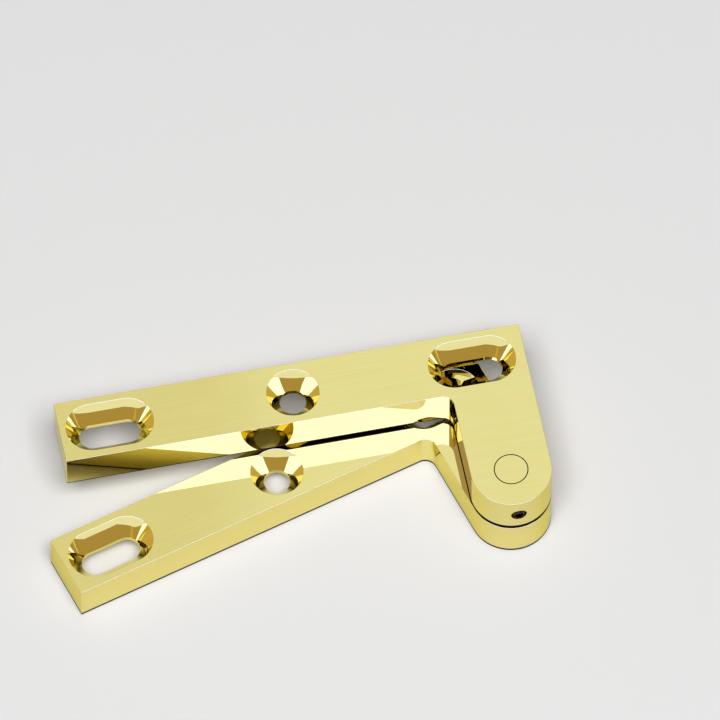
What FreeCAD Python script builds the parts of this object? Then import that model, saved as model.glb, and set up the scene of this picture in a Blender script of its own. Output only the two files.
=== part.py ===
"""Offset pivot hinge for a door: two L-shaped brass leaves that turn about one pin.

The origin is on the pivot's axis, in the plane of the door leaf's outer face. +X runs along the door
leaf's arm towards its heel, +Y from the pivot towards the arm, and +Z along the pin towards the frame
leaf. Sizes are in millimetres.
"""
import FreeCAD, Part
import os
import re

import Sketcher
from FreeCAD import Placement, Rotation, Vector

DRIVING_SIZES = {
    # the L-shaped outline that both leaves share
    "leaf_length": 88.9,
    "arm_width": 12.7,
    "leg_width": 15.3,
    "pivot_offset": 24.25,
    "leaf_thickness": 8.2,
    "inner_corner_radius": 2.2,
    "edge_break": 0.2,
    # the wood screw holes, countersunk from both faces so that a leaf fits either hand
    "screw_hole_radius": 2.5,
    "countersink_radius": 5.0,
    "throat_length": 0.95,
    "slot_travel": 6.7,
    "toe_slot_inset": 9.5,
    "heel_slot_inset": 10.2,
    # the pin, and the bores that it turns in or is locked in
    "pin_radius": 3.175,
    "pin_recess": 0.2,
    "pin_chamfer": 0.12,
    "running_clearance": 0.05,
    "locked_clearance": 0.03,
    "bore_chamfer": 0.08,
    # the washer that keeps the leaves apart
    "leaf_gap": 0.75,
    "washer_radius": 6.0,
    "washer_bore_clearance": 0.15,
    "washer_end_play": 0.05,
    # the grub screw that locks the pin in the frame leaf
    "set_screw_radius": 1.47,
    "set_screw_length": 3.0,
    "set_screw_chamfer": 0.25,
    "thread_clearance": 0.03,
    "tip_clearance": 0.02,
    "socket_across_flats": 1.5,
    "socket_depth": 1.3,
    # how far open the hinge stands
    "opening_angle": 16.15,
}

# places that several features share, as formulas of the driving sizes
LEG_EDGE = "leg_width / 2"
ARM_BACK = "(pivot_offset + arm_width / 2)"
ARM_FRONT = "(pivot_offset - arm_width / 2)"
FREE_END = "(leg_width / 2 - leaf_length)"
MID_LENGTH = "(leg_width / 2 - leaf_length / 2)"
TOE_SLOT = "(leg_width / 2 - leaf_length + toe_slot_inset)"
HEEL_SLOT = "(leg_width / 2 - heel_slot_inset)"
THROAT_LOW = "(leaf_thickness - throat_length) / 2"
THROAT_HIGH = "(leaf_thickness + throat_length) / 2"
SET_SCREW_TIP = "-(pin_radius + tip_clearance)"
SET_SCREW_HEAD = "-(pin_radius + tip_clearance + set_screw_length)"

doc = FreeCAD.newDocument("offset_pivot_hinge")
sheet = doc.addObject("Spreadsheet::Sheet", "Sizes")
for row, (alias, value) in enumerate(DRIVING_SIZES.items(), start=1):
    sheet.set(f"A{row}", str(value))
    sheet.setAlias(f"A{row}", alias)
doc.recompute()


def formula(text):
    """The text with each size's name written as a reference to its cell."""
    return re.sub(r"[a-z][a-z_]+", lambda m: "Sizes." + m[0] if m[0] in DRIVING_SIZES else m[0], text)


def number(text):
    return float(sheet.evalExpression(formula(text)))


def new_body(label):
    body = doc.addObject("PartDesign::Body", label)
    body.Label = label
    return body


def new_sketch(body, name, plane, x="0", y="0", z="0"):
    """An empty sketch on one of the body's origin planes, moved by formulas in the sketch's own axes."""
    sketch = body.newObject("Sketcher::SketchObject", name)
    origin_plane = next(o for o in body.Origin.OriginFeatures if o.Role == plane)
    sketch.AttachmentSupport = [(origin_plane, "")]
    sketch.MapMode = "FlatFace"
    for axis, offset in (("x", x), ("y", y), ("z", z)):
        sketch.setExpression(f"AttachmentOffset.Base.{axis}", formula(offset))
    return sketch


def place_point(sketch, name, edge, end, x, y):
    """Fix one point of the sketch at two formulas, measured from the sketch's origin."""
    for kind, letter, text, axis in (("DistanceX", "x", x, -2), ("DistanceY", "y", y, -1)):
        if number(text) == 0:
            sketch.addConstraint(Sketcher.Constraint("PointOnObject", edge, end, axis))
            continue
        index = sketch.addConstraint(Sketcher.Constraint(kind, edge, end, number(text)))
        sketch.renameConstraint(index, f"{name}_{letter}")
        sketch.setExpression(f"Constraints.{name}_{letter}", formula(text))


def draw_polygon(sketch, points):
    """A closed outline of straight lines through points given as pairs of formulas."""
    corners = [Vector(number(x), number(y), 0) for x, y in points]
    count = len(corners)
    for i in range(count):
        sketch.addGeometry(Part.LineSegment(corners[i], corners[(i + 1) % count]), False)
    for i in range(count):
        sketch.addConstraint(Sketcher.Constraint("Coincident", i, 2, (i + 1) % count, 1))
        place_point(sketch, f"corner_{i}", i, 1, *points[i])


def draw_circle(sketch, radius):
    """A circle about the sketch's origin."""
    sketch.addGeometry(Part.Circle(Vector(0, 0, 0), Vector(0, 0, 1), number(radius)), False)
    sketch.addConstraint(Sketcher.Constraint("Coincident", 0, 3, -1, 1))
    index = sketch.addConstraint(Sketcher.Constraint("Radius", 0, number(radius)))
    sketch.renameConstraint(index, "radius")
    sketch.setExpression("Constraints.radius", formula(radius))


def pad(body, name, sketch, length):
    feature = body.newObject("PartDesign::Pad", name)
    feature.Profile = sketch
    feature.setExpression("Length", formula(length))
    doc.recompute()
    return feature


def pocket(body, name, sketch, length, midplane=False):
    """A pocket that goes against the sketch's normal, or both ways from it."""
    before = body.Shape.Volume
    feature = body.newObject("PartDesign::Pocket", name)
    feature.Profile = sketch
    feature.Midplane = midplane
    feature.setExpression("Length", formula(length))
    doc.recompute()
    check_removed(body, name, before)


def turned(body, kind, name, sketch, axis):
    """A full turn of the sketch about one of its own axes: a Revolution adds, a Groove cuts."""
    before = body.Shape.Volume if kind == "Groove" else None
    feature = body.newObject(f"PartDesign::{kind}", name)
    feature.Profile = sketch
    feature.ReferenceAxis = (sketch, [axis])
    feature.Angle = 360
    doc.recompute()
    if kind == "Groove":
        check_removed(body, name, before)


def check_removed(body, name, before):
    if not body.Shape.Volume < before - 1e-6:
        raise RuntimeError(f"{body.Label}: {name} cut nothing")


def countersunk_hole(body, name, x):
    """A round screw hole on the arm's centreline, countersunk from both faces."""
    profile = new_sketch(body, f"{name}_profile", "XZ_Plane", x=x, z="-pivot_offset")
    draw_polygon(profile, [
        ("0", "0"),
        ("countersink_radius", "0"),
        ("screw_hole_radius", THROAT_LOW),
        ("screw_hole_radius", THROAT_HIGH),
        ("countersink_radius", "leaf_thickness"),
        ("0", "leaf_thickness"),
    ])
    turned(body, "Groove", name, profile, "V_Axis")


def countersunk_slot(body, name, x):
    """The same hole drawn out along the arm: a countersunk hole at each end and its section between."""
    countersunk_hole(body, f"{name}_toe_end", f"{x} - slot_travel / 2")
    countersunk_hole(body, f"{name}_heel_end", f"{x} + slot_travel / 2")
    section = new_sketch(body, f"{name}_section", "YZ_Plane", x="pivot_offset", z=x)
    draw_polygon(section, [
        ("-countersink_radius", "0"),
        ("countersink_radius", "0"),
        ("screw_hole_radius", THROAT_LOW),
        ("screw_hole_radius", THROAT_HIGH),
        ("countersink_radius", "leaf_thickness"),
        ("-countersink_radius", "leaf_thickness"),
        ("-screw_hole_radius", THROAT_HIGH),
        ("-screw_hole_radius", THROAT_LOW),
    ])
    pocket(body, name, section, "slot_travel", midplane=True)


def is_upright(edge):
    return abs(edge.tangentAt(edge.FirstParameter).z) > 0.99


def break_edges(body, base):
    """Chamfer the outline of both faces and the square corners, but not the tangent seams."""
    inner_corner_reach = number("inner_corner_radius + 0.01")
    corner = Vector(number("-leg_width / 2"), number(ARM_FRONT), 0)
    names = []
    for index, edge in enumerate(base.Shape.Edges, start=1):
        middle = edge.valueAt((edge.FirstParameter + edge.LastParameter) / 2)
        on_seam = Vector(middle.x, middle.y, 0).distanceToPoint(corner) < inner_corner_reach
        on_round_end = abs(middle.y) < 0.01
        if is_upright(edge) and (on_seam or on_round_end):
            continue
        names.append(f"Edge{index}")
    chamfer = body.newObject("PartDesign::Chamfer", "edge_breaks")
    chamfer.Base = (base, names)
    chamfer.setExpression("Size", formula("edge_break"))
    doc.recompute()


def make_leaf(label, bore_clearance):
    """One L-shaped leaf, its outer face at z = 0 or z = leaf_thickness, bored for the pin at the origin."""
    leaf = new_body(label)
    outline = new_sketch(leaf, f"{label}_outline", "XY_Plane")
    draw_polygon(outline, [
        ("-" + LEG_EDGE, "0"),
        (LEG_EDGE, "0"),
        (LEG_EDGE, ARM_BACK),
        (FREE_END, ARM_BACK),
        (FREE_END, ARM_FRONT),
        ("-" + LEG_EDGE, ARM_FRONT),
    ])
    pad(leaf, f"{label}_bar", outline, "leaf_thickness")
    round_end = new_sketch(leaf, f"{label}_round_end_outline", "XY_Plane")
    draw_circle(round_end, LEG_EDGE)
    blank = pad(leaf, f"{label}_round_end", round_end, "leaf_thickness")

    corner = Vector(number("-leg_width / 2"), number(ARM_FRONT), number("leaf_thickness / 2"))
    seam = next(i for i, e in enumerate(blank.Shape.Edges, start=1)
                if is_upright(e) and e.distToShape(Part.Vertex(corner))[0] < 0.01)
    fillet = leaf.newObject("PartDesign::Fillet", f"{label}_inner_corner")
    fillet.Base = (blank, [f"Edge{seam}"])
    fillet.setExpression("Radius", formula("inner_corner_radius"))
    doc.recompute()
    break_edges(leaf, fillet)

    bore = new_sketch(leaf, f"{label}_bore_profile", "XZ_Plane")
    radius = f"pin_radius + {bore_clearance}"
    draw_polygon(bore, [
        ("0", "0"),
        (f"{radius} + bore_chamfer", "0"),
        (radius, "bore_chamfer"),
        (radius, "leaf_thickness - bore_chamfer"),
        (f"{radius} + bore_chamfer", "leaf_thickness"),
        ("0", "leaf_thickness"),
    ])
    turned(leaf, "Groove", f"{label}_bore", bore, "V_Axis")

    countersunk_slot(leaf, f"{label}_toe_slot", TOE_SLOT)
    countersunk_hole(leaf, f"{label}_middle_hole", MID_LENGTH)
    countersunk_slot(leaf, f"{label}_heel_slot", HEEL_SLOT)
    return leaf


def make_set_screw_hole(leaf):
    """A tapped hole along the leg, at mid-thickness, from the pin's bore out through the round end."""
    profile = new_sketch(leaf, "set_screw_hole_profile", "YZ_Plane", y="leaf_thickness / 2")
    radius = "set_screw_radius + thread_clearance"
    draw_polygon(profile, [
        ("0", "0"),
        ("-leg_width / 2 - edge_break", "0"),
        ("-leg_width / 2 - edge_break", radius),
        ("0", radius),
    ])
    turned(leaf, "Groove", "set_screw_hole", profile, "H_Axis")


def make_pin():
    """The pin in the frame leaf's own frame: flush with its outer face, and short of the door leaf's."""
    pin = new_body("pivot_pin")
    bottom = "(pin_recess - leaf_thickness - leaf_gap)"
    profile = new_sketch(pin, "pin_profile", "XZ_Plane")
    draw_polygon(profile, [
        ("0", bottom),
        ("pin_radius - pin_chamfer", bottom),
        ("pin_radius", f"{bottom} + pin_chamfer"),
        ("pin_radius", "leaf_thickness - pin_chamfer"),
        ("pin_radius - pin_chamfer", "leaf_thickness"),
        ("0", "leaf_thickness"),
    ])
    turned(pin, "Revolution", "pin_turning", profile, "V_Axis")
    return pin


def make_washer():
    """The washer lies on the door leaf and fills the gap, less a little end play."""
    washer = new_body("thrust_washer")
    profile = new_sketch(washer, "washer_profile", "XZ_Plane", y="leaf_thickness")
    bore = "pin_radius + washer_bore_clearance"
    thickness = "leaf_gap - washer_end_play"
    draw_polygon(profile, [
        (bore, "0"),
        ("washer_radius", "0"),
        ("washer_radius", thickness),
        (bore, thickness),
    ])
    turned(washer, "Revolution", "washer_ring", profile, "V_Axis")
    return washer


def make_set_screw():
    """The grub screw in the frame leaf's own frame: its tip at the pin, its hexagon socket outwards."""
    screw = new_body("set_screw")
    profile = new_sketch(screw, "screw_profile", "YZ_Plane", y="leaf_thickness / 2")
    draw_polygon(profile, [
        (SET_SCREW_TIP, "0"),
        (SET_SCREW_TIP, "set_screw_radius - set_screw_chamfer"),
        (f"{SET_SCREW_TIP} - set_screw_chamfer", "set_screw_radius"),
        (f"{SET_SCREW_HEAD} + set_screw_chamfer", "set_screw_radius"),
        (SET_SCREW_HEAD, "set_screw_radius - set_screw_chamfer"),
        (SET_SCREW_HEAD, "0"),
    ])
    turned(screw, "Revolution", "screw_shank", profile, "H_Axis")
    head = f"-({SET_SCREW_HEAD})"
    socket = new_sketch(screw, "socket_outline", "XZ_Plane", y="leaf_thickness / 2", z=head)
    across_corners = "socket_across_flats / sqrt(3)"
    draw_polygon(socket, [
        (f"{across_corners} * cos({60 * i} deg)", f"{across_corners} * sin({60 * i} deg)")
        for i in range(6)
    ])
    pocket(screw, "hexagon_socket", socket, "socket_depth")
    return screw


def seat_with_frame_leaf(body):
    """Lift a body of the frame leaf's side over the door leaf and turn it about the pivot."""
    body.Placement = Placement(Vector(0, 0, 0), Rotation(Vector(0, 0, -1), number("opening_angle")))
    body.setExpression("Placement.Base.z", formula("leaf_thickness + leaf_gap"))


def check_document():
    doc.recompute()
    for item in doc.Objects:
        if "Invalid" in item.State or "Error" in item.State:
            raise RuntimeError(f"{item.Label}: {item.State}")


def write_sub_parts(bodies):
    os.makedirs("parts", exist_ok=True)
    for body in bodies:
        shape = body.Shape
        if shape.isNull() or not shape.isValid() or len(shape.Solids) != 1:
            raise RuntimeError(f"{body.Label}: the shape isn't one valid solid")
    for body in bodies:
        body.Shape.exportStep(f"parts/{body.Label}.step")
        box = body.Shape.BoundBox
        print(f"{body.Label}: {body.Shape.Volume:.2f} mm3, x {box.XMin:.2f}..{box.XMax:.2f},"
              f" y {box.YMin:.2f}..{box.YMax:.2f}, z {box.ZMin:.2f}..{box.ZMax:.2f}")


door_leaf = make_leaf("door_leaf", "running_clearance")
washer = make_washer()
frame_leaf = make_leaf("frame_leaf", "locked_clearance")
make_set_screw_hole(frame_leaf)
pin = make_pin()
set_screw = make_set_screw()
for turning in (frame_leaf, pin, set_screw):
    seat_with_frame_leaf(turning)
check_document()
write_sub_parts([door_leaf, washer, frame_leaf, pin, set_screw])
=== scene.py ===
"""An offset pivot hinge in polished brass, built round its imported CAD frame.

The two leaves, the pin, the washer and the grub screw are turned and milled shapes, so each is made from
loops of its outline or from a turned profile. Lengths are in metres, in the frame of the CAD part: the
pivot's axis is the Z axis, and the door leaf's arm runs along X.
"""

import math

import bmesh
import bpy
from mathutils import Matrix, Vector


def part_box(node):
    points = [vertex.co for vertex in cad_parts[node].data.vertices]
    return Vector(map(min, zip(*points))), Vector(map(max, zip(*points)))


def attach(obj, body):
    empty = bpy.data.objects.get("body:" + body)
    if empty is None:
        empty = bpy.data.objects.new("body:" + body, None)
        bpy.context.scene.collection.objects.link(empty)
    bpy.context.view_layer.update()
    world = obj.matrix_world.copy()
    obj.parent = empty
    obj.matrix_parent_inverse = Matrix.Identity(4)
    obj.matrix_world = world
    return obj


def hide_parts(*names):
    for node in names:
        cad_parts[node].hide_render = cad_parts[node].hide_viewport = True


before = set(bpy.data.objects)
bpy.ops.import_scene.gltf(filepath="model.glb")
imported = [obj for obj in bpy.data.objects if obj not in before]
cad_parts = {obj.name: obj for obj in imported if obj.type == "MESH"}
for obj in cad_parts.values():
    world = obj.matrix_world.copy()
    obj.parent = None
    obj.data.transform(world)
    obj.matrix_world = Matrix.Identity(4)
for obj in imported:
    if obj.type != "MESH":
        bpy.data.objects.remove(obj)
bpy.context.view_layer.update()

MM = 0.001

# the door leaf, read from the frame
LEAF_LOW, LEAF_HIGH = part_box("door_leaf")
THICKNESS = LEAF_HIGH.z - LEAF_LOW.z
LEG_EDGE = LEAF_HIGH.x
FREE_END = LEAF_LOW.x
ARM_BACK = LEAF_HIGH.y
ARM_WIDTH = 12.7 * MM
ARM_FRONT = ARM_BACK - ARM_WIDTH
ARM_MIDDLE = ARM_BACK - ARM_WIDTH / 2
INNER_CORNER_RADIUS = 2.2 * MM
EDGE_BREAK = 0.06 * MM
CORNER_RADIUS = EDGE_BREAK + 0.05 * MM

# how high the painted contact shade stands on each leaf's lowest edge: a near-black band painted where the
# door leaf meets the floor and where the frame leaf meets the gap between the leaves, in place of the shadow
# there
DOOR_DARK_EDGE = 0.55 * MM
FRAME_DARK_EDGE = 0.3 * MM

# the wood screw holes, countersunk from both faces
HOLE_RADIUS = 2.5 * MM
COUNTERSINK_RADIUS = 5.0 * MM
THROAT_LENGTH = 0.95 * MM
# the fine flat round each rim, which catches the light: how wide and how deep it is
RIM_BREAK = 0.026 * MM
RIM_DEPTH = RIM_BREAK * 0.58
SLOT_TRAVEL = 6.7 * MM
TOE_SLOT = FREE_END + 9.5 * MM
HEEL_SLOT = LEG_EDGE - 10.2 * MM
MIDDLE_HOLE = (FREE_END + LEG_EDGE) / 2

# the frame leaf lies over the door leaf, turned about the pin
FRAME_LEAF_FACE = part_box("frame_leaf")[0].z
OPENING_ANGLE = math.radians(16.15)
FRAME_SIDE = Matrix.Translation((0, 0, FRAME_LEAF_FACE)) @ Matrix.Rotation(-OPENING_ANGLE, 4, "Z")
DOOR_SIDE = Matrix.Identity(4)

# the pin, and the bores that it stands in: both are chamfered, so a fine dark ring shows between them
PIN_LOW, PIN_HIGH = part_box("pivot_pin")
PIN_RADIUS = PIN_HIGH.x
RUNNING_BORE = PIN_RADIUS + 0.05 * MM
LOCKED_BORE = PIN_RADIUS + 0.03 * MM
BORE_CHAMFER = 0.05 * MM
BORE_CHAMFER_DEPTH = 0.4 * MM
PIN_CHAMFER = 0.12 * MM
PIN_CHAMFER_DEPTH = 0.7 * MM

# the washer in the gap between the leaves
WASHER_LOW, WASHER_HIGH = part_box("thrust_washer")
WASHER_BORE = PIN_RADIUS + 0.15 * MM
WASHER_CHAMFER = 0.06 * MM

# the grub screw, in its tapped hole along the frame leaf's leg
SCREW_RADIUS = 1.47 * MM
SCREW_LENGTH = 3.0 * MM
SCREW_TIP = PIN_RADIUS + 0.02 * MM
SCREW_CHAMFER = 0.25 * MM
SCREW_HOLE_RADIUS = SCREW_RADIUS + 0.03 * MM
SCREW_HOLE_LENGTH = LEG_EDGE + MM
THREAD_PITCH = 0.5 * MM
THREAD_DEPTH = 0.2 * MM
SOCKET_WIDTH = 1.5 * MM
SOCKET_DEPTH = 1.3 * MM

# how many sides or steps the round shapes have
FINE = 96
ARC = 48
INNER_ARC = 24
CORNER_ARC = 4
HEXAGON = 6
STEPS = 4
THREAD_STEPS = 8

CREASE_ANGLE = math.radians(10)
MERGE_DISTANCE = 0.001 * MM

# which of its leaf's materials a face has
FACE, HOLE, LOWEST_EDGE = range(3)


# shapes

def new_piece(name, bm, body, node, materials, cutter=None):
    """A finished piece from a bmesh: smooth, with its creases sharp, riding on a body in place of a node."""
    mesh = closed_mesh(name, bm)
    if cutter:
        mesh = cut_away(mesh, closed_mesh("cutter", cutter))
    mesh.shade_smooth()
    mesh.set_sharp_from_angle(angle=CREASE_ANGLE)
    for material in materials:
        mesh.materials.append(material)
    piece = bpy.data.objects.new(name, mesh)
    bpy.context.scene.collection.objects.link(piece)
    weighted = piece.modifiers.new("flat_faces_lead", "WEIGHTED_NORMAL")
    weighted.keep_sharp = True
    weighted.weight = 100
    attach(piece, body)
    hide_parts(node)
    return piece


def closed_mesh(name, bm):
    """A mesh from a closed bmesh, its faces turned outwards."""
    bmesh.ops.recalc_face_normals(bm, faces=bm.faces)
    mesh = bpy.data.meshes.new(name)
    bm.to_mesh(mesh)
    bm.free()
    return mesh


def cut_away(mesh, cutter_mesh):
    """The mesh that is left when a cutter's shape is taken out of it."""
    block = bpy.data.objects.new("block", mesh)
    cutter = bpy.data.objects.new("cutter", cutter_mesh)
    for item in (block, cutter):
        bpy.context.scene.collection.objects.link(item)
    boolean = block.modifiers.new("cut", "BOOLEAN")
    boolean.object = cutter
    boolean.solver = "EXACT"
    result = bpy.data.meshes.new_from_object(block.evaluated_get(bpy.context.evaluated_depsgraph_get()))
    result.name = mesh.name
    for item in (block, cutter):
        bpy.data.objects.remove(item)
    return result


def outline_loop(bm, inset, z):
    """The leaf's L-shaped outline, moved in by inset: the corners of an L, rounded by vertex bevels."""
    corners = [
        (LEG_EDGE - inset, ARM_BACK - inset, CORNER_RADIUS - inset, CORNER_ARC),
        (FREE_END + inset, ARM_BACK - inset, CORNER_RADIUS - inset, CORNER_ARC),
        (FREE_END + inset, ARM_FRONT + inset, CORNER_RADIUS - inset, CORNER_ARC),
        (-LEG_EDGE + inset, ARM_FRONT + inset, INNER_CORNER_RADIUS + inset, INNER_ARC),
        (-LEG_EDGE + inset, -LEG_EDGE + inset, LEG_EDGE - inset, ARC),
        (LEG_EDGE - inset, -LEG_EDGE + inset, LEG_EDGE - inset, ARC),
    ]
    sketch = bmesh.new()
    sketch.faces.new([sketch.verts.new((x, y, z)) for x, y, _, _ in corners])
    for x, y, radius, segments in corners:
        corner = min(sketch.verts, key=lambda v: (v.co - Vector((x, y, z))).length)
        bmesh.ops.bevel(sketch, geom=[corner], offset=radius, offset_type="OFFSET", segments=segments,
                        profile=0.5, affect="VERTICES", material=-1, clamp_overlap=False)
    bmesh.ops.remove_doubles(sketch, verts=sketch.verts, dist=MERGE_DISTANCE)
    return take_loop(bm, sketch)


def round_loop(bm, centre, radius, z, travel=0.0, segments=FINE):
    """A circle, or a circle whose two halves stand apart along X by travel."""
    sketch = bmesh.new()
    bmesh.ops.create_circle(sketch, cap_ends=True, radius=radius, segments=segments)
    bmesh.ops.rotate(sketch, verts=sketch.verts, matrix=Matrix.Rotation(math.pi / segments, 3, "Z"))
    for vert in sketch.verts:
        vert.co.x += math.copysign(travel / 2, vert.co.x)
    bmesh.ops.translate(sketch, verts=sketch.verts, vec=(centre[0], centre[1], z))
    return take_loop(bm, sketch)


def take_loop(bm, sketch):
    """Move the one face's outline from a scratch bmesh into bm, as a closed loop of edges."""
    corners = [bm.verts.new(loop.vert.co) for loop in next(iter(sketch.faces)).loops]
    sketch.free()
    return [bm.edges.new((corners[i - 1], corners[i])) for i in range(len(corners))]


def stack(bm, loops, material=FACE):
    """Walls between each loop and the next."""
    for lower, upper in zip(loops, loops[1:]):
        for wall in bmesh.ops.bridge_loops(bm, edges=lower + upper)["faces"]:
            wall.material_index = material


def rounded_levels(break_size, low, high):
    """Pairs of inset and height that round both edges of a wall that runs from low to high."""
    angles = [math.pi / 2 * i / STEPS for i in range(STEPS + 1)]
    foot = [(break_size * (1 - math.sin(a)), low + break_size * (1 - math.cos(a))) for a in angles]
    head = [(inset, high - (z - low)) for inset, z in reversed(foot)]
    return foot + head


def countersunk_loops(bm, centre, travel):
    """The wall of a screw hole from the lower face up: a broken rim, a cone, a throat, and the same back."""
    throat_low = (THICKNESS - THROAT_LENGTH) / 2
    throat_high = THICKNESS - throat_low
    rim = [(COUNTERSINK_RADIUS + RIM_BREAK / 2, 0), (COUNTERSINK_RADIUS - RIM_BREAK / 2, RIM_DEPTH)]
    levels = rim + [(HOLE_RADIUS, throat_low), (HOLE_RADIUS, throat_high)]
    levels += [(radius, THICKNESS - z) for radius, z in reversed(rim)]
    return [round_loop(bm, centre, radius, z, travel) for radius, z in levels]


def bored_loops(bm, radius):
    """The wall of the pin's bore from the lower face up, chamfered at both ends."""
    levels = [(radius + BORE_CHAMFER, 0), (radius, BORE_CHAMFER_DEPTH)]
    levels += [(wide, THICKNESS - z) for wide, z in reversed(levels)]
    return [round_loop(bm, (0, 0), wide, z) for wide, z in levels]


def leaf(name, bore_radius, dark_edge, place, body, node, materials, cutter=None):
    """One leaf: its outline and holes as stacks of loops, joined by the two flat faces."""
    bm = bmesh.new()
    levels = rounded_levels(EDGE_BREAK, 0, THICKNESS)
    dark_top = STEPS + 1
    levels.insert(dark_top, (0, dark_edge))
    outline = [outline_loop(bm, inset, z) for inset, z in levels]
    holes = [
        bored_loops(bm, bore_radius),
        countersunk_loops(bm, (TOE_SLOT, ARM_MIDDLE), SLOT_TRAVEL),
        countersunk_loops(bm, (MIDDLE_HOLE, ARM_MIDDLE), 0),
        countersunk_loops(bm, (HEEL_SLOT, ARM_MIDDLE), SLOT_TRAVEL),
    ]
    # the faces up to dark_edge take the painted contact shade
    stack(bm, outline[:dark_top + 1], LOWEST_EDGE)
    stack(bm, outline[dark_top:])
    for loops in holes:
        stack(bm, loops, HOLE)
    for end in (0, -1):
        rims = [edge for loops in [outline] + holes for edge in loops[end]]
        bmesh.ops.triangle_fill(bm, edges=rims, use_beauty=True, normal=(0, 0, 1))
    bmesh.ops.transform(bm, matrix=place, verts=bm.verts)
    return new_piece(name, bm, body, node, materials, cutter)


def turned(profile, segments=FINE):
    """A solid or a closed ring turned about Z from a profile of radius and height.

    Its faces are made one by one, because the spin operator orders them differently each run.
    """
    bm = bmesh.new()
    turns = [Matrix.Rotation(math.tau * i / segments, 3, "Z") for i in range(segments)]
    sections = [[bm.verts.new(turn @ Vector((radius, 0, z))) for radius, z in profile] for turn in turns]
    for section, after in zip(sections, sections[1:] + sections[:1]):
        for corners in zip(section, section[1:], after[1:], after):
            bm.faces.new(corners)
    bmesh.ops.remove_doubles(bm, verts=bm.verts, dist=MERGE_DISTANCE)
    return bm


def hinge_pin(materials):
    """A plain turned pin with chamfered ends, flush with the frame leaf's face."""
    bm = turned([
        (0, PIN_LOW.z), (PIN_RADIUS - PIN_CHAMFER, PIN_LOW.z), (PIN_RADIUS, PIN_LOW.z + PIN_CHAMFER_DEPTH),
        (PIN_RADIUS, PIN_HIGH.z - PIN_CHAMFER_DEPTH), (PIN_RADIUS - PIN_CHAMFER, PIN_HIGH.z),
        (0, PIN_HIGH.z)])
    return new_piece("hinge_pin", bm, "frame_side", "pivot_pin", materials)


def bearing_washer(materials):
    """The flat ring that keeps the leaves apart, its four edges broken."""
    outer = WASHER_HIGH.x
    low, high, chamfer = WASHER_LOW.z, WASHER_HIGH.z, WASHER_CHAMFER
    bm = turned([
        (WASHER_BORE + chamfer, low), (outer - chamfer, low), (outer, low + chamfer),
        (outer, high - chamfer), (outer - chamfer, high), (WASHER_BORE + chamfer, high),
        (WASHER_BORE, high - chamfer), (WASHER_BORE, low + chamfer), (WASHER_BORE + chamfer, low)])
    return new_piece("bearing_washer", bm, "door_side", "thrust_washer", materials)


def along_the_leg(bm, start):
    """Lay a shape that stands on the XY plane along the frame leaf's leg, start away from the pivot."""
    lay_down = Matrix.Translation((0, -start, THICKNESS / 2)) @ Matrix.Rotation(math.pi / 2, 4, "X")
    bmesh.ops.transform(bm, matrix=FRAME_SIDE @ lay_down, verts=bm.verts)
    return bm


def screw_hole_cutter():
    """The bar that leaves the tapped hole, from the middle of the bore out through the round end."""
    bm = turned([(0, 0), (SCREW_HOLE_RADIUS, 0), (SCREW_HOLE_RADIUS, SCREW_HOLE_LENGTH),
                 (0, SCREW_HOLE_LENGTH)], segments=ARC)
    for face in bm.faces:
        face.material_index = HOLE
    return along_the_leg(bm, 0)


def grub_screw(materials):
    """The headless screw that locks the pin: a cut thread, a flat tip and a hexagon socket."""
    bm = bmesh.new()
    step = THREAD_PITCH / THREAD_STEPS
    levels = [i * step for i in range(round(SCREW_LENGTH / step) + 1)]
    loops = [round_loop(bm, (0, 0), SCREW_RADIUS, z, segments=ARC) for z in levels]
    for vert in bm.verts:
        end = min(vert.co.z, SCREW_LENGTH - vert.co.z)
        turn = vert.co.z / THREAD_PITCH - math.atan2(vert.co.y, vert.co.x) / math.tau
        groove = THREAD_DEPTH * abs(2 * (turn - math.floor(turn)) - 1)
        radius = SCREW_RADIUS - max(groove, SCREW_CHAMFER - end)
        vert.co.xy = vert.co.xy.normalized() * radius
    corner_radius = SOCKET_WIDTH / math.sqrt(3)
    socket = [round_loop(bm, (0, 0), corner_radius, z, segments=HEXAGON)
              for z in (SCREW_LENGTH, SCREW_LENGTH - SOCKET_DEPTH)]
    stack(bm, loops)
    stack(bm, socket)
    for rims in (loops[0], loops[-1] + socket[0], socket[1]):
        bmesh.ops.triangle_fill(bm, edges=rims, use_beauty=True, normal=(0, 0, 1))
    along_the_leg(bm, SCREW_TIP)
    return new_piece("grub_screw", bm, "frame_side", "set_screw", materials)


# node tools

def connect(tree, node, inputs):
    """Fill a node's inputs, each with a value or with another node's output."""
    for key, value in inputs.items():
        if isinstance(value, bpy.types.NodeSocket):
            tree.links.new(value, node.inputs[key])
        else:
            node.inputs[key].default_value = value


def add(tree, kind, inputs=None, **settings):
    """A new node with its settings and its inputs."""
    made = tree.nodes.new(kind)
    for name, value in settings.items():
        setattr(made, name, value)
    connect(tree, made, inputs or {})
    return made


def maths(tree, operation, *values):
    """One sum, and its result."""
    return add(tree, "ShaderNodeMath", dict(enumerate(values)), operation=operation).outputs[0]


# where a Mix node that is set to colours keeps its factor, its two colours and its result
MIX_FACTOR, MIX_FIRST, MIX_SECOND, MIX_RESULT = 0, 6, 7, 2


def blend_colours(tree, factor, first, second):
    """A colour between two, by a factor."""
    mixed = add(tree, "ShaderNodeMix", data_type="RGBA", clamp_factor=True)
    connect(tree, mixed, {MIX_FACTOR: factor, MIX_FIRST: first, MIX_SECOND: second})
    return mixed.outputs[MIX_RESULT]


def new_group(name, inputs, outputs):
    """An empty node group with its sockets, and the nodes that stand for them inside."""
    tree = bpy.data.node_groups.new(name, "ShaderNodeTree")
    for socket, kind in inputs.items():
        tree.interface.new_socket(socket, in_out="INPUT", socket_type=kind)
    for socket, kind in outputs.items():
        tree.interface.new_socket(socket, in_out="OUTPUT", socket_type=kind)
    return tree, add(tree, "NodeGroupInput"), add(tree, "NodeGroupOutput")


def place_group(tree, group, inputs):
    """Place a node group in a material and give it its own values."""
    return add(tree, "ShaderNodeGroup", inputs, node_tree=group)


VALUE = "NodeSocketFloat"
VECTOR = "NodeSocketVector"


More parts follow.
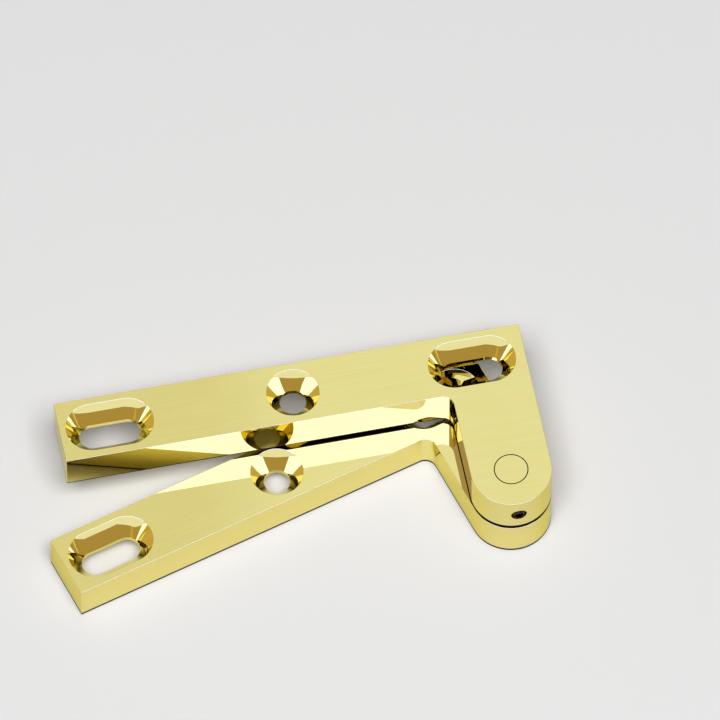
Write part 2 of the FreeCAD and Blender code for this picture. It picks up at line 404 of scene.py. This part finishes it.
# shared effects

# how close the marks lie along X, Y and Z, per metre
BROAD_LINES = (45, 2600, 2600)
HAIR_LINES = (110, 11000, 11000)
HAIR_SHARE = 0.35
TOOL_RINGS = (30, 30, 9000)


def polishing_lines_group():
    """Fine straight lines left by the polishing belt: long along X, close together across it."""
    tree, given, result = new_group("polishing_lines", {"Vector": VECTOR}, {"Tone": VALUE, "Height": VALUE})
    stretched = add(tree, "ShaderNodeMapping", {"Vector": given.outputs["Vector"], "Scale": BROAD_LINES})
    broad = add(tree, "ShaderNodeTexNoise",
                {"Vector": stretched.outputs[0], "Scale": 1.0, "Detail": 2.0, "Roughness": 0.5})
    close = add(tree, "ShaderNodeMapping", {"Vector": given.outputs["Vector"], "Scale": HAIR_LINES})
    hairs = add(tree, "ShaderNodeTexNoise",
                {"Vector": close.outputs[0], "Scale": 1.0, "Detail": 1.0, "Roughness": 0.5})
    broad_tone = maths(tree, "MULTIPLY", broad.outputs[0], 1 - HAIR_SHARE)
    tone = maths(tree, "MULTIPLY_ADD", hairs.outputs[0], HAIR_SHARE, broad_tone)
    tree.links.new(tone, result.inputs["Tone"])
    tree.links.new(hairs.outputs[0], result.inputs["Height"])
    return tree


def cutter_rings_group():
    """Fine rings left by a countersink or a lathe tool: close together along Z, and faint."""
    tree, given, result = new_group("cutter_rings", {"Vector": VECTOR}, {"Tone": VALUE, "Height": VALUE})
    along = add(tree, "ShaderNodeMapping", {"Vector": given.outputs["Vector"], "Scale": TOOL_RINGS})
    rings = add(tree, "ShaderNodeTexNoise",
                {"Vector": along.outputs[0], "Scale": 1.0, "Detail": 2.0, "Roughness": 0.6})
    tree.links.new(rings.outputs[0], result.inputs["Tone"])
    tree.links.new(rings.outputs[0], result.inputs["Height"])
    return tree


def handling_and_shade_patches_group():
    """Soft patches of about a given size, from nothing to one: where a piece has been handled, and the
    mottling of the painted contact shade.
    """
    tree, given, result = new_group("handling_and_shade_patches", {"Vector": VECTOR, "Size": VALUE}, {"Patches": VALUE})
    scale = maths(tree, "DIVIDE", 1.0, given.outputs["Size"])
    patches = add(tree, "ShaderNodeTexNoise",
                  {"Vector": given.outputs["Vector"], "Scale": scale, "Detail": 3.0, "Roughness": 0.55})
    spread = add(tree, "ShaderNodeMapRange",
                 {"Value": patches.outputs[0], "From Min": 0.35, "From Max": 0.65}, clamp=True)
    tree.links.new(spread.outputs[0], result.inputs["Patches"])
    return tree


POLISHING_LINES = polishing_lines_group()
CUTTER_RINGS = cutter_rings_group()
HANDLING_AND_SHADE_PATCHES = handling_and_shade_patches_group()


# materials

BRASS_PALE = (0.855, 0.75, 0.272, 1)
BRASS_DEEP = (0.828, 0.714, 0.25, 1)
BRASS_AT_A_SLANT = (0.82, 0.78, 0.44, 1)
BRUSHED_ROUGHNESS = 0.028
BORED_ROUGHNESS = 0.022
MARK_HEIGHT = 0.00002 * MM
HANDLED_SIZE = 11 * MM
HANDLED_TONE = 0.12
HANDLED_ROUGHNESS = 0.5

# a painted contact shadow: the near-black colours, patch size, roughness and sheen of the band along each
# leaf's lowest edge
CONTACT_SHADE_DARK = (0.012, 0.009, 0.005, 1)
CONTACT_SHADE_LIGHT = (0.035, 0.025, 0.012, 1)
CONTACT_SHADE_SIZE = 2 * MM
CONTACT_SHADE_ROUGHNESS = 0.5
CONTACT_SHADE_UNEVENNESS = 0.15
CONTACT_SHADE_SHEEN = 0.2
BRONZE_DARK = (0.33, 0.19, 0.09, 1)
BRONZE_LIGHT = (0.6, 0.38, 0.2, 1)
BRONZE_GRAIN = 9000.0
BRONZE_PIT_DEPTH = 0.003 * MM
BRONZE_ROUGHNESS = 0.3
BRONZE_UNEVENNESS = 0.15
OXIDE_DARK = (0.035, 0.03, 0.028, 1)
OXIDE_LIGHT = (0.085, 0.062, 0.045, 1)
OXIDE_SIZE = 0.5 * MM
OXIDE_ROUGHNESS = 0.3
OXIDE_UNEVENNESS = 0.12


def new_material(name):
    """A material, its node tree, its shader and the piece's own coordinates."""
    material = bpy.data.materials.new(name)
    material.use_nodes = True
    tree = material.node_tree
    shader = tree.nodes["Principled BSDF"]
    return material, tree, shader, add(tree, "ShaderNodeTexCoord").outputs["Object"]


def brass_finish(tree, shader, own, marks, roughness):
    """Colour, roughness and bump of polished brass whose marks come from one of the shared effects."""
    patches = place_group(tree, HANDLING_AND_SHADE_PATCHES, {"Vector": own, "Size": HANDLED_SIZE}).outputs["Patches"]
    tone = maths(tree, "MULTIPLY_ADD", patches, HANDLED_TONE, marks.outputs["Tone"])
    contrast = add(tree, "ShaderNodeMapRange",
                   {"Value": tone, "From Min": 0.35, "From Max": 0.75}, clamp=True)
    colour = blend_colours(tree, contrast.outputs[0], BRASS_DEEP, BRASS_PALE)
    tree.links.new(colour, shader.inputs["Base Color"])
    shader.inputs["Specular Tint"].default_value = BRASS_AT_A_SLANT
    handled = maths(tree, "MULTIPLY_ADD", patches, roughness * HANDLED_ROUGHNESS, roughness)
    tree.links.new(handled, shader.inputs["Roughness"])
    bump = add(tree, "ShaderNodeBump",
               {"Height": marks.outputs["Height"], "Strength": 1.0, "Distance": MARK_HEIGHT})
    tree.links.new(bump.outputs[0], shader.inputs["Normal"])
    shader.inputs["Metallic"].default_value = 1.0


def brushed_brass(name, turn):
    """The leaves' faces and the pin's end: polished brass with faint lines along the arm."""
    material, tree, shader, own = new_material(name)
    along_arm = add(tree, "ShaderNodeMapping", {"Vector": own, "Rotation": (0, 0, turn)})
    lines = place_group(tree, POLISHING_LINES, {"Vector": along_arm.outputs[0]})
    brass_finish(tree, shader, own, lines, BRUSHED_ROUGHNESS)
    return material


def bored_brass(name):
    """The countersunk holes and bores: bright cut brass with faint rings."""
    material, tree, shader, own = new_material(name)
    rings = place_group(tree, CUTTER_RINGS, {"Vector": own})
    brass_finish(tree, shader, own, rings, BORED_ROUGHNESS)
    return material


def painted_shade_brass(name):
    """The lowest edge of a leaf: brass painted nearly black, a painted contact shadow along the floor and
    along the gap between the leaves.
    """
    material, tree, shader, own = new_material(name)
    shade_patches = place_group(tree, HANDLING_AND_SHADE_PATCHES, {"Vector": own, "Size": CONTACT_SHADE_SIZE}).outputs["Patches"]
    colour = blend_colours(tree, shade_patches, CONTACT_SHADE_DARK, CONTACT_SHADE_LIGHT)
    tree.links.new(colour, shader.inputs["Base Color"])
    roughness = maths(tree, "MULTIPLY_ADD", shade_patches, CONTACT_SHADE_UNEVENNESS, CONTACT_SHADE_ROUGHNESS)
    tree.links.new(roughness, shader.inputs["Roughness"])
    shader.inputs["Specular IOR Level"].default_value = CONTACT_SHADE_SHEEN
    return material


def dull_bronze():
    """The washer: rolled bronze, dull and finely pitted."""
    material, tree, shader, own = new_material("dull_bronze")
    pits = add(tree, "ShaderNodeTexVoronoi", {"Vector": own, "Scale": BRONZE_GRAIN}).outputs["Distance"]
    colour = blend_colours(tree, pits, BRONZE_DARK, BRONZE_LIGHT)
    tree.links.new(colour, shader.inputs["Base Color"])
    roughness = maths(tree, "MULTIPLY_ADD", pits, BRONZE_UNEVENNESS, BRONZE_ROUGHNESS)
    tree.links.new(roughness, shader.inputs["Roughness"])
    bump = add(tree, "ShaderNodeBump", {"Height": pits, "Distance": BRONZE_PIT_DEPTH})
    tree.links.new(bump.outputs[0], shader.inputs["Normal"])
    shader.inputs["Metallic"].default_value = 1.0
    return material


def blackened_steel():
    """The grub screw: steel with a brown-black oxide skin, a little mottled."""
    material, tree, shader, own = new_material("blackened_steel")
    skin = place_group(tree, HANDLING_AND_SHADE_PATCHES, {"Vector": own, "Size": OXIDE_SIZE}).outputs["Patches"]
    colour = blend_colours(tree, skin, OXIDE_DARK, OXIDE_LIGHT)
    tree.links.new(colour, shader.inputs["Base Color"])
    roughness = maths(tree, "MULTIPLY_ADD", skin, OXIDE_UNEVENNESS, OXIDE_ROUGHNESS)
    tree.links.new(roughness, shader.inputs["Roughness"])
    shader.inputs["Metallic"].default_value = 1.0
    return material


door_brass = brushed_brass("door_leaf_brass", 0)
frame_brass = brushed_brass("frame_leaf_brass", OPENING_ANGLE)
hole_brass = bored_brass("bored_brass")
# the painted contact shade for the leaves' lowest edges
shade_painted_brass = painted_shade_brass("painted_contact_shade_brass")

leaf("leaf_in_door", RUNNING_BORE, DOOR_DARK_EDGE, DOOR_SIDE, "door_side", "door_leaf",
     [door_brass, hole_brass, shade_painted_brass])
leaf("leaf_in_frame", LOCKED_BORE, FRAME_DARK_EDGE, FRAME_SIDE, "frame_side", "frame_leaf",
     [frame_brass, hole_brass, shade_painted_brass], screw_hole_cutter())
hinge_pin([frame_brass])
bearing_washer([dull_bronze()])
grub_screw([blackened_steel()])


# studio

VIEW_AZIMUTH = math.radians(-27.44)
VIEW_ELEVATION = math.radians(59.75)

FLOOR_RADIUS = 3.0
FLOOR_SIDES = 128
FLOOR_GAP = 0.15 * MM
FLOOR_COLOURS = ((0.79, 0.79, 0.785, 1), (0.80, 0.80, 0.795, 1))
FLOOR_GRAIN = 4.0
FLOOR_ROUGHNESS = 0.3
FLOOR_SHEEN = 0.2


def pale_floor():
    """A plain pale table top with a faint sheen."""
    bm = bmesh.new()
    bmesh.ops.create_circle(bm, cap_ends=True, radius=FLOOR_RADIUS, segments=FLOOR_SIDES)
    bmesh.ops.translate(bm, verts=bm.verts, vec=(0, 0, -FLOOR_GAP))
    mesh = closed_mesh("floor", bm)
    material, tree, shader, own = new_material("pale_table_top")
    grain = add(tree, "ShaderNodeTexNoise", {"Vector": own, "Scale": FLOOR_GRAIN})
    colour = blend_colours(tree, grain.outputs[0], *FLOOR_COLOURS)
    tree.links.new(colour, shader.inputs["Base Color"])
    shader.inputs["Roughness"].default_value = FLOOR_ROUGHNESS
    shader.inputs["Specular IOR Level"].default_value = FLOOR_SHEEN
    mesh.materials.append(material)
    floor = bpy.data.objects.new("floor", mesh)
    bpy.context.scene.collection.objects.link(floor)
    return floor


def panel_mask_group():
    """One inside the four edges of a studio panel and nothing outside, for a direction in degrees."""
    edges = {"Left": -1, "Right": 1, "Low": -1, "High": 1}
    inputs = {name: VALUE for name in ("Azimuth", "Elevation", *edges)}
    tree, given, result = new_group("panel_mask", inputs, {"Mask": VALUE})
    mask = 1.0
    for edge, side in edges.items():
        measure = given.outputs["Azimuth" if edge in ("Left", "Right") else "Elevation"]
        inside = maths(tree, "LESS_THAN" if side > 0 else "GREATER_THAN", measure, given.outputs[edge])
        mask = maths(tree, "MULTIPLY", inside, mask)
    tree.links.new(mask, result.inputs["Mask"])
    return tree


# each panel's side (front or back), left and right edges, low and high edges in degrees, and its light
WIDE_WALL = ("front", -100, 100, 6.9, 44.2, (0.78, 0.66, 0.72, 1))
HORIZON_STRIP = ("front", -75, 75, -5, 12, (0.96, 1.02, 1.25, 1))
SOFT_BOX = ("front", -68, 77, 44.2, 74, (1.9, 2.3, 9.8, 1))
REAR_PANEL_DIM_HALF = ("back", -16, -0.74, 45, 63.6, (0.835, 0.845, 0.84, 1))
REAR_PANEL_BRIGHT_HALF = ("back", -0.74, 14, 45, 63.6, (0.93, 0.98, 1.10, 1))
ROOM_LIGHT = (0.56, 0.46, 0.55, 1)
BACKDROP = (0.86, 0.86, 0.855, 1)

# what lights the dull surfaces, where panels in the reflections' colours would tint them
KEY_PANEL = ("front", -68, 77, 58, 75, (1.8, 1.8, 1.8, 1))
FILL_LIGHT = (0.08, 0.08, 0.08, 1)


def studio_light():
    """Soft light all round, with panels that show in the polished brass. Front is towards the camera."""
    world = bpy.data.worlds.new("studio")
    bpy.context.scene.world = world
    world.use_nodes = True
    tree = world.node_tree
    direction = add(tree, "ShaderNodeTexCoord").outputs["Generated"]
    turned_to_camera = add(tree, "ShaderNodeVectorRotate",
                           {"Vector": direction, "Angle": -VIEW_AZIMUTH}, rotation_type="Z_AXIS")
    x, y, z = add(tree, "ShaderNodeSeparateXYZ", {"Vector": turned_to_camera.outputs[0]}).outputs
    mask_group = panel_mask_group()

    def in_degrees(radians):
        return maths(tree, "MULTIPLY", radians, math.degrees(1))

    azimuth = {
        "front": in_degrees(maths(tree, "ARCTAN2", x, maths(tree, "MULTIPLY", y, -1.0))),
        "back": in_degrees(maths(tree, "ARCTAN2", x, y)),
    }
    elevation = in_degrees(maths(tree, "ARCSINE", z))

    def with_panels(light, panels):
        for side, left, right, low, high, colour in panels:
            mask = place_group(tree, mask_group, {
                "Azimuth": azimuth[side], "Elevation": elevation, "Left": left, "Right": right,
                "Low": low, "High": high})
            light = blend_colours(tree, mask.outputs["Mask"], light, colour)
        return light

    light = with_panels(ROOM_LIGHT, [WIDE_WALL, HORIZON_STRIP, SOFT_BOX,
                                     REAR_PANEL_DIM_HALF, REAR_PANEL_BRIGHT_HALF])
    soft_light = with_panels(FILL_LIGHT, [KEY_PANEL])
    path = add(tree, "ShaderNodeLightPath")
    light = blend_colours(tree, path.outputs["Is Glossy Ray"], soft_light, light)
    light = blend_colours(tree, path.outputs["Is Camera Ray"], light, BACKDROP)
    tree.links.new(light, tree.nodes["Background"].inputs["Color"])


TABLE_LAMP_ENERGY = 36.0
TABLE_LAMP_DISTANCE = 2.0
TABLE_LAMP_SIZE = (1.3, 0.75)
TABLE_LAMP_ELEVATION = math.radians(66)


def table_lamp(floor):
    """A soft box above the camera that lights the table top alone, so the brass throws no glare on it."""
    data = bpy.data.lights.new("table_lamp", "AREA")
    data.shape = "RECTANGLE"
    data.size, data.size_y = TABLE_LAMP_SIZE
    data.energy = TABLE_LAMP_ENERGY
    lamp = bpy.data.objects.new("table_lamp", data)
    towards = Matrix.Rotation(VIEW_AZIMUTH, 3, "Z") @ Vector((0, -math.cos(TABLE_LAMP_ELEVATION),
                                                               math.sin(TABLE_LAMP_ELEVATION)))
    lamp.location = towards * TABLE_LAMP_DISTANCE
    lamp.rotation_mode = "QUATERNION"
    lamp.rotation_quaternion = (-towards).to_track_quat("-Z", "Y")
    bpy.context.scene.collection.objects.link(lamp)
    lit = bpy.data.collections.new("lit_by_table_lamp")
    lit.objects.link(floor)
    lamp.light_linking.receiver_collection = lit
    lamp.visible_glossy = False


SENSOR = 36.0
LENS = 850.0
FIELD_WIDTH = 134.6 * MM
PIVOT_RIGHT_OF_CENTRE = 28.25 * MM
PIVOT_BELOW_CENTRE = 20.41 * MM


def place_camera():
    """A long lens, high above the hinge's inner corner, with the pivot low on the right."""
    back = Vector((math.sin(VIEW_AZIMUTH) * math.cos(VIEW_ELEVATION),
                   -math.cos(VIEW_AZIMUTH) * math.cos(VIEW_ELEVATION), math.sin(VIEW_ELEVATION)))
    rotation = (-back).to_track_quat("-Z", "Y")
    right = rotation @ Vector((1, 0, 0))
    up = rotation @ Vector((0, 1, 0))
    data = bpy.data.cameras.new("camera")
    data.sensor_width = SENSOR
    data.lens = LENS
    data.clip_start = 0.01
    data.clip_end = 50
    camera = bpy.data.objects.new("camera", data)
    aim = Vector((0, 0, PIN_HIGH.z)) - right * PIVOT_RIGHT_OF_CENTRE + up * PIVOT_BELOW_CENTRE
    camera.location = aim + back * (LENS / SENSOR * FIELD_WIDTH)
    camera.rotation_mode = "QUATERNION"
    camera.rotation_quaternion = rotation
    bpy.context.scene.collection.objects.link(camera)
    bpy.context.scene.camera = camera


table_lamp(pale_floor())
studio_light()
place_camera()
bpy.context.scene.view_settings.view_transform = "Standard"
